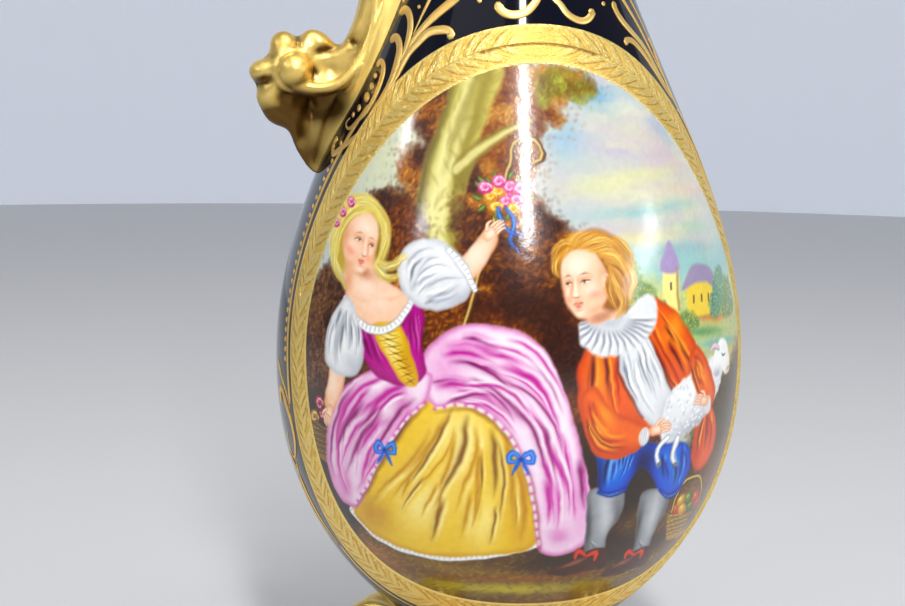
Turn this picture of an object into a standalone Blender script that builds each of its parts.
"""A porcelain ewer, cast and glazed in one piece: body, pouring lip, scroll handle and four scroll feet.

Sizes are in millimetres on the drawing board and become metres through MM. +Z is up and the feet stand
on Z = 0. +X is the pouring spout, -X the handle, and -Y the face that carries the painted medallion.
The origin is the middle of the whole ewer's footprint box, so the pot's own axis stands AXIS_X from it.
"""

import math

import bmesh
import bpy
import numpy as np
from mathutils import Matrix, Vector

MM = 0.001
AXIS_X = 4.9
WALL = 3.6
TURN_STEPS = 40
BODY_STEPS = 23

# The thrown body as (radius, height): stem, belly, shoulder, neck and lip.
BODY = [
    (26.5, 34.0),
    (46.6, 50.0),
    (67.0, 75.0),
    (78.5, 102.0),
    (82.5, 130.0),
    (80.8, 158.0),
    (72.5, 190.0),
    (58.3, 225.0),
    (42.8, 260.0),
    (29.5, 295.0),
    (22.0, 325.0),
    (20.5, 345.0),
    (25.0, 370.0),
    (33.0, 385.0),
]
FLOOR_Z = 47.0
CAVITY_TOP_Z = 415.0

# The foot under the stem: a half-round knop, a spreading dome and a recessed underside.
KNOP_R, KNOP_Z, KNOP_HALF = 29.5, 31.5, 2.5
DOME = [(26.5, 28.5), (29.0, 23.0), (38.0, 16.0), (46.0, 11.0), (49.5, 7.5), (50.0, 5.0), (49.3, 3.2)]
RECESS = [(44.0, 3.2), (38.0, 8.0), (27.0, 14.0), (18.0, 22.0), (0.0, 25.0)]

# The half-round collar round the narrowest part of the neck.
COLLAR_R, COLLAR_Z, COLLAR_HALF = 24.2, 345.0, 4.2

# How the thrown rim is pushed into a pouring lip while soft.
MOUTH_Z, LIP_Z, LIP_R = 350.0, 385.0, 33.0
SPOUT_PULL, SPOUT_LIFT, SPOUT_SPREAD = 19.0, 14.0, 0.62
BACK_LIFT, BACK_SPREAD = 6.0, 0.75
SIDE_DROP, SIDE_PINCH = 4.0, 0.14

# The handle as (distance behind the axis, height, half width, half thickness), from the lip down to the
# shoulder: a strap that widens into a thumb rest at its top.
HANDLE = [
    (24.0, 370.0, 8.0, 5.0),
    (33.5, 390.5, 9.0, 5.2),
    (45.5, 405.0, 9.8, 5.3),
    (61.0, 410.8, 10.2, 5.2),
    (75.5, 404.0, 9.2, 5.4),
    (83.5, 385.0, 7.8, 5.8),
    (82.5, 362.0, 7.2, 6.0),
    (74.0, 339.0, 7.0, 6.0),
    (63.0, 318.0, 7.2, 5.9),
    (53.5, 298.0, 7.6, 5.9),
    (47.8, 278.0, 8.0, 5.9),
    (47.4, 261.0, 8.4, 5.9),
    (52.0, 246.0, 7.0, 5.5),
]

# The gilt leaf that roots the handle on the shoulder: (height, half width, height proud of the body).
ROOT = [
    (272.0, 3.0, 3.0),
    (260.0, 10.5, 8.5),
    (248.0, 14.5, 9.5),
    (236.0, 15.0, 9.0),
    (224.0, 11.5, 7.5),
    (212.0, 6.5, 5.0),
    (200.0, 1.5, 1.2),
]

# The volute that the leaf throws out behind, as the outline of its web in the handle's plane.
WEB = [
    (50.0, 254.0),
    (58.5, 246.5),
    (69.5, 248.5),
    (76.0, 246.5),
    (81.5, 247.0),
    (85.5, 240.0),
    (89.5, 235.5),
    (89.0, 227.0),
    (85.0, 219.5),
    (78.2, 214.8),
    (75.0, 207.0),
    (69.5, 199.5),
    (58.0, 206.0),
    (46.0, 240.0),
]
WEB_HALF = 7.5
WEB_TIP_Z, WEB_FULL_Z, WEB_TIP_SHARE = 198.0, 230.0, 0.15
# Its lobes, each an egg that points away from the eye, as (distance behind the axis, height, radius).
LOBES = [
    (64.2, 243.6, 3.6),
    (70.8, 245.0, 4.6),
    (79.8, 243.8, 4.9),
    (86.4, 235.4, 4.7),
    (86.0, 226.6, 4.4),
    (80.6, 219.8, 4.3),
]
LOBE_STRETCH, LOBE_HALF = 1.3, 9.5
RIB = [(50.0, 248.0), (53.5, 238.5), (59.0, 231.8), (66.0, 228.3), (73.0, 228.6), (79.5, 232.5)]
RIB_HALF, RIB_OUT = 3.2, 8.0
EYE_RHO, EYE_Z, EYE_R = 76.7, 236.7, 5.6

# One foot: an S scroll as (distance from the axis, height, half width, half thickness), and the two
# rolls that it curls round, as (distance from the axis, height, radius, half width).
FOOT = [
    (26.0, 20.0, 8.0, 5.0),
    (37.0, 25.5, 9.5, 5.6),
    (49.0, 29.5, 10.5, 5.6),
    (60.0, 28.0, 10.5, 5.6),
    (65.5, 20.5, 9.0, 5.0),
    (63.5, 12.0, 8.0, 4.6),
    (63.0, 5.5, 8.0, 4.6),
]
FOOT_ROLLS = [(56.5, 26.5, 7.2, 11.4), (67.5, 6.6, 7.4, 10.6)]
FOOT_ANGLES = [45.0, 135.0, 225.0, 315.0]


def clear_scene():
    for thing in list(bpy.data.objects):
        bpy.data.objects.remove(thing, do_unlink=True)


def smooth_line(stations, steps):
    """Reads a natural cubic spline through the stations at even steps of its length."""
    knots = np.array(stations, float)
    gaps = np.linalg.norm(np.diff(knots[:, :2], axis=0), axis=1)
    at = np.concatenate([[0.0], np.cumsum(gaps)])
    count = len(knots)
    system = np.zeros((count, count))
    pull = np.zeros((count, knots.shape[1]))
    system[0, 0] = system[-1, -1] = 1.0
    for i in range(1, count - 1):
        system[i, i - 1 : i + 2] = gaps[i - 1], 2 * (gaps[i - 1] + gaps[i]), gaps[i]
        slope_out = (knots[i + 1] - knots[i]) / gaps[i]
        slope_in = (knots[i] - knots[i - 1]) / gaps[i - 1]
        pull[i] = 6 * (slope_out - slope_in)
    bend = np.linalg.solve(system, pull)
    line = []
    for s in np.linspace(0.0, at[-1], steps + 1):
        i = int(np.clip(np.searchsorted(at, s) - 1, 0, count - 2))
        gap = gaps[i]
        a, b = (at[i + 1] - s) / gap, (s - at[i]) / gap
        curved = ((a**3 - a) * bend[i] + (b**3 - b) * bend[i + 1]) * gap**2 / 6
        line.append(a * knots[i] + b * knots[i + 1] + curved)
    return line


def inward(line, depth):
    """Moves a (radius, height) line that runs upwards toward the axis by depth, square to itself."""
    moved = []
    for i, here in enumerate(line):
        along = line[min(i + 1, len(line) - 1)] - line[max(i - 1, 0)]
        along = along / np.linalg.norm(along)
        moved.append(here + depth * np.array([-along[1], along[0]]))
    return moved


def shape_mouth(mesh):
    """Pulls the rim into a spout at +X, pinches its sides and lifts its back, more and more above the neck."""
    for vert in mesh.verts:
        x, y, z = vert.co / MM
        rise = min(max((z - MOUTH_Z) / (LIP_Z - MOUTH_Z), 0.0), 1.0)
        ease = rise * rise * (3 - 2 * rise) * min(math.hypot(x, y) / LIP_R, 1.0)
        angle = math.atan2(y, x)
        spout = math.exp(-((angle / SPOUT_SPREAD) ** 2))
        back = math.exp(-(((math.pi - abs(angle)) / BACK_SPREAD) ** 2))
        side = math.sin(angle) ** 2
        x += ease * SPOUT_PULL * spout
        y *= 1 - ease * SIDE_PINCH
        z += ease * (SPOUT_LIFT * spout + BACK_LIFT * back - SIDE_DROP * side)
        vert.co = Vector((x, y, z)) * MM


def lathe(profile):
    """Spins a (radius, height) line about the pot's axis into a closed skin."""
    mesh = bmesh.new()
    verts = [mesh.verts.new(Vector((r, 0.0, z)) * MM) for r, z in profile]
    edges = [mesh.edges.new(pair) for pair in zip(verts, verts[1:])]
    bmesh.ops.spin(
        mesh,
        geom=verts + edges,
        axis=(0, 0, 1),
        cent=(0, 0, 0),
        angle=math.tau,
        steps=TURN_STEPS,
        use_merge=True,
    )
    bmesh.ops.remove_doubles(mesh, verts=mesh.verts, dist=1e-6)
    bmesh.ops.recalc_face_normals(mesh, faces=mesh.faces)
    return mesh


def sweep(mesh, stations, sides):
    """Bridges flattened rings along a run. A station is (centre, across, outward, half width, half thick)."""
    rings = []
    for centre, across, outward, half_width, half_thick in stations:
        along = across.cross(outward)
        frame = Matrix((across * half_width, outward * half_thick, along)).transposed().to_4x4()
        place = Matrix.Translation(centre * MM) @ Matrix.Scale(MM, 4) @ frame
        ring = bmesh.ops.create_circle(mesh, segments=sides, radius=1.0, matrix=place)["verts"]
        rings.append(ring)
    for low, high in zip(rings, rings[1:]):
        for i in range(sides):
            j = (i + 1) % sides
            mesh.faces.new((low[i], low[j], high[j], high[i]))
    mesh.faces.new(rings[0])
    mesh.faces.new(rings[-1])
    bmesh.ops.recalc_face_normals(mesh, faces=mesh.faces)


def plane_run(line, aside=0.0):
    """Stations for a sweep in a plane along XZ, from a line of (x, z, half width, half thick)."""
    stations = []
    across = Vector((0.0, 1.0, 0.0))
    for i, (x, z, half_width, half_thick) in enumerate(line):
        step = np.subtract(line[min(i + 1, len(line) - 1)], line[max(i - 1, 0)])
        along = Vector((step[0], 0.0, step[1])).normalized()
        stations.append((Vector((x, aside, z)), across, along.cross(across), half_width, half_thick))
    return stations


def helper(name, mesh, angle=0.0):
    """Stores a skin as an object that only shapes the ewer, turned about the pot's axis."""
    turn = Matrix.Translation((AXIS_X * MM, 0, 0)) @ Matrix.Rotation(math.radians(angle), 4, "Z")
    bmesh.ops.transform(mesh, matrix=turn, verts=mesh.verts)
    data = bpy.data.meshes.new(name)
    mesh.to_mesh(data)
    mesh.free()
    thing = bpy.data.objects.new(name, data)
    bpy.context.scene.collection.objects.link(thing)
    thing.hide_render = True
    thing.display_type = "WIRE"
    return thing


def half_round(reach, height, half):
    """A bead's profile, top to bottom."""
    turns = [math.radians(degrees) for degrees in (60, 20, -20, -60)]
    return [(reach - half + half * math.cos(t), height + half * math.sin(t)) for t in turns]


def body_skin():
    """The outer skin: body, lip, knop and dome, closed across the mouth and up into the recess."""
    body = smooth_line(BODY, BODY_STEPS)
    profile = [(0.0, LIP_Z + 1.6), (31.2, LIP_Z + 1.6), (32.5, LIP_Z + 1.0)]
    profile += [(r, z) for r, z in reversed(body) if z > COLLAR_Z + COLLAR_HALF]
    profile += half_round(COLLAR_R, COLLAR_Z, COLLAR_HALF)
    profile += [(r, z) for r, z in reversed(body) if z < COLLAR_Z - COLLAR_HALF]
    profile += half_round(KNOP_R, KNOP_Z, KNOP_HALF)
    return lathe(profile + DOME + RECESS)


def cavity_skin():
    """The hollow: the body's line moved in by the wall, closed over the floor and run up past the lip."""
    wall = [p for p in inward(smooth_line(BODY, BODY_STEPS), WALL) if p[1] > FLOOR_Z]
    rim_r = LIP_R - WALL
    profile = [(0.0, CAVITY_TOP_Z), (rim_r, CAVITY_TOP_Z), (rim_r, LIP_Z + 3.0)]
    profile += [tuple(p) for p in reversed(wall)]
    return lathe(profile + [(wall[0][0] * 0.6, FLOOR_Z - 0.6), (0.0, FLOOR_Z - 1.0)])


def handle_strap():
    mesh = bmesh.new()
    sweep(mesh, plane_run([(-rho, z, w, t) for rho, z, w, t in smooth_line(HANDLE, 22)]), 12)
    return mesh


def handle_root():
    """The leaf that lies on the shoulder under the handle and tapers to a point."""
    body = smooth_line(BODY, 80)
    heights = [p[1] for p in body]
    line = []
    for z, half_width, proud in smooth_line(ROOT, 9):
        line.append((-float(np.interp(z, heights, [p[0] for p in body])), z, half_width, proud))
    mesh = bmesh.new()
    sweep(mesh, plane_run(line), 10)
    return mesh


def volute_web():
    """The lobed web of the volute: a thick leaf in the handle's plane that thins out down to its tip."""
    mesh = bmesh.new()
    verts = [mesh.verts.new(Vector((-rho, -WEB_HALF, z)) * MM) for rho, z in WEB]
    face = mesh.faces.new(verts)
    out = bmesh.ops.extrude_face_region(mesh, geom=[face])
    moved = [g for g in out["geom"] if isinstance(g, bmesh.types.BMVert)]
    bmesh.ops.translate(mesh, verts=moved, vec=(0, 2 * WEB_HALF * MM, 0))
    for vert in mesh.verts:
        share = (vert.co.z / MM - WEB_TIP_Z) / (WEB_FULL_Z - WEB_TIP_Z)
        vert.co.y *= min(max(share, WEB_TIP_SHARE), 1.0)
    bmesh.ops.triangulate(mesh, faces=mesh.faces)
    bmesh.ops.recalc_face_normals(mesh, faces=mesh.faces)
    return mesh


def ball(rho, y, z, radius, half_width, stretch=1.0):
    """An egg of the given radius and half width, stretched away from the volute's eye."""
    mesh = bmesh.new()
    bmesh.ops.create_icosphere(mesh, subdivisions=2, radius=1.0)
    lean = math.atan2(z - EYE_Z, rho - EYE_RHO)
    size = Matrix.Diagonal((radius * stretch, half_width, radius, 1.0))
    place = Matrix.Translation((-rho, y, z)) @ Matrix.Rotation(math.pi + lean, 4, "Y") @ size
    bmesh.ops.transform(mesh, matrix=Matrix.Scale(MM, 4) @ place, verts=mesh.verts)
    return mesh


def volute_rib(side):
    mesh = bmesh.new()
    line = [(-rho, z, RIB_HALF, RIB_HALF) for rho, z in smooth_line(RIB, 9)]
    sweep(mesh, plane_run(line, side * RIB_OUT), 8)
    return mesh


def trim_flat(mesh):
    """Cuts away what hangs below the ground and closes the sole."""
    geometry = mesh.verts[:] + mesh.edges[:] + mesh.faces[:]
    bmesh.ops.bisect_plane(mesh, geom=geometry, plane_co=(0, 0, 0), plane_no=(0, 0, 1), clear_inner=True)
    bmesh.ops.holes_fill(mesh, edges=[e for e in mesh.edges if e.is_boundary])
    bmesh.ops.recalc_face_normals(mesh, faces=mesh.faces)
    return mesh


def foot_scroll():
    mesh = bmesh.new()
    sweep(mesh, plane_run(smooth_line(FOOT, 12)), 8)
    return trim_flat(mesh)


def foot_roll(rho, z, radius, half_width):
    """A roll that lies across the foot, its ends rounded off."""
    mesh = bmesh.new()
    line = [(0.55, -1.0), (0.85, -0.93), (1.0, -0.72), (1.0, 0.72), (0.85, 0.93), (0.55, 1.0)]
    stations = []
    for reach, side in line:
        centre = Vector((rho, side * half_width, z))
        stations.append((centre, Vector((1, 0, 0)), Vector((0, 0, 1)), reach * radius, reach * radius))
    sweep(mesh, stations, 12)
    return trim_flat(mesh)


def boolean(target, tool, operation):
    modifier = target.modifiers.new(tool.name, "BOOLEAN")
    modifier.operation = operation
    modifier.object = tool
    modifier.solver = "EXACT"


def glaze():
    """Deep cobalt glaze over white porcelain."""
    material = bpy.data.materials.new("cobalt_glaze")
    shader = material.node_tree.nodes["Principled BSDF"] if material.node_tree else None
    if shader is None:
        material.use_nodes = True
        shader = material.node_tree.nodes["Principled BSDF"]
    shader.inputs["Base Color"].default_value = (0.008, 0.012, 0.06, 1.0)
    shader.inputs["Roughness"].default_value = 0.08
    shader.inputs["Metallic"].default_value = 0.0
    return material


def build():
    clear_scene()
    outer = body_skin()
    shape_mouth(outer)
    ewer = helper("ewer", outer)
    ewer.hide_render = False
    ewer.display_type = "TEXTURED"
    ewer.data.materials.append(glaze())
    joined = [
        helper("handle_strap", handle_strap()),
        helper("handle_root", handle_root()),
        helper("volute_web", volute_web()),
    ]
    for number, (rho, z, radius) in enumerate(LOBES):
        lobe = ball(rho, 0.0, z, radius, LOBE_HALF, LOBE_STRETCH)
        joined.append(helper(f"volute_lobe_{number}", lobe))
    for side in (-1, 1):
        joined.append(helper(f"volute_rib_{side}", volute_rib(side)))
        joined.append(helper(f"volute_eye_{side}", ball(EYE_RHO, side * RIB_OUT, EYE_Z, EYE_R, EYE_R)))
    for angle in FOOT_ANGLES:
        joined.append(helper(f"foot_{angle:.0f}", foot_scroll(), angle))
        for number, roll in enumerate(FOOT_ROLLS):
            joined.append(helper(f"foot_{angle:.0f}_roll_{number}", foot_roll(*roll), angle))
    for piece in joined:
        boolean(ewer, piece, "UNION")
    hollow = cavity_skin()
    shape_mouth(hollow)
    boolean(ewer, helper("cavity", hollow), "DIFFERENCE")
    ewer.data.shade_smooth()


build()
